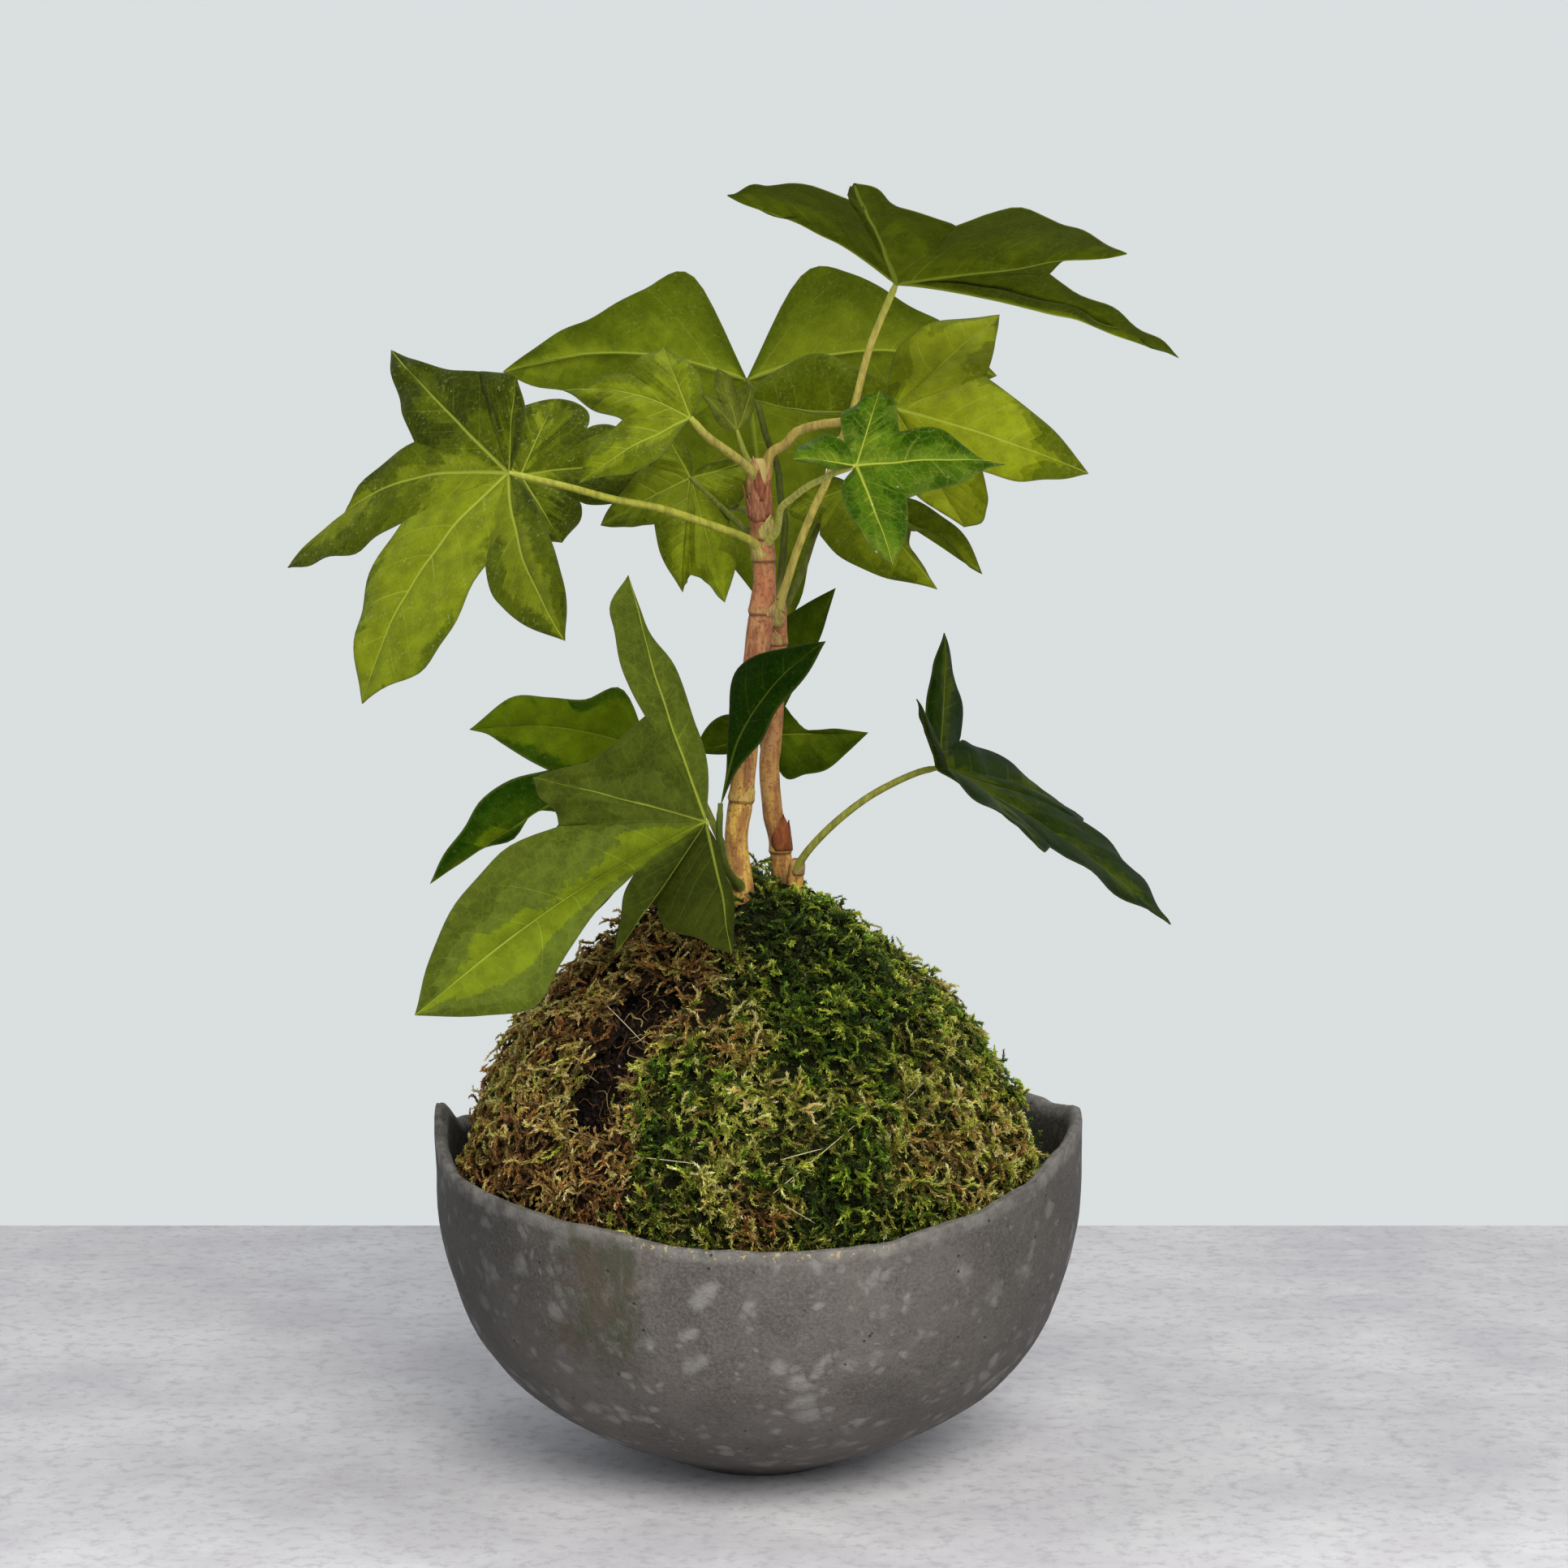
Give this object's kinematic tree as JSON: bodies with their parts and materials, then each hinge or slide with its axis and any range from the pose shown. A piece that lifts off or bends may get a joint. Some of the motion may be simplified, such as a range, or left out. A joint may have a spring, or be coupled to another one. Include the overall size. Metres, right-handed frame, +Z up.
{
  "type": "english ivy kokedama",
  "caption": "Moss ball planted with a young variegated ivy on upright stems, resting in a wavy-rimmed stoneware bowl.",
  "frame": {"origin": "middle of the bowl's flat foot", "axes": "+Z up, along the plant's stems; +X to the right and -Y to the front of the pictured side"},
  "size_m": [0.2043, 0.1514, 0.2962],
  "materials": {
    "stoneware": "matt dark grey stoneware with pale mottling",
    "soil": "damp dark potting soil",
    "green_moss": "live sheet moss",
    "dry_moss": "dry brown sheet moss",
    "stem_bark": "smooth young pinkish stem",
    "leaf_lime": "waxy living leaf, two-tone green",
    "leaf_mid": "waxy living leaf, two-tone green",
    "leaf_dark": "waxy living leaf, two-tone green",
    "leaf_grey": "waxy living leaf, two-tone green"
  },
  "bodies": {
    "root": {"bowl": "stoneware", "root_ball": "soil", "moss_green": "green_moss", "moss_dry": "dry_moss", "stem_front": "stem_bark", "stem_back": "stem_bark", "stem_stub": "stem_bark", "leaf_left": "leaf_mid", "leaf_left_back": "leaf_mid", "leaf_crown_left": "leaf_lime", "leaf_young": "leaf_grey", "leaf_back": "leaf_mid", "leaf_star": "leaf_lime", "leaf_top": "leaf_dark", "leaf_right": "leaf_lime", "leaf_front": "leaf_dark", "leaf_right_low": "leaf_lime", "leaf_low_front": "leaf_grey", "leaf_low_left": "leaf_dark", "leaf_low_upright": "leaf_dark", "leaf_low_back": "leaf_mid", "leaf_low_right": "leaf_dark"}
  },
  "joints": []
}
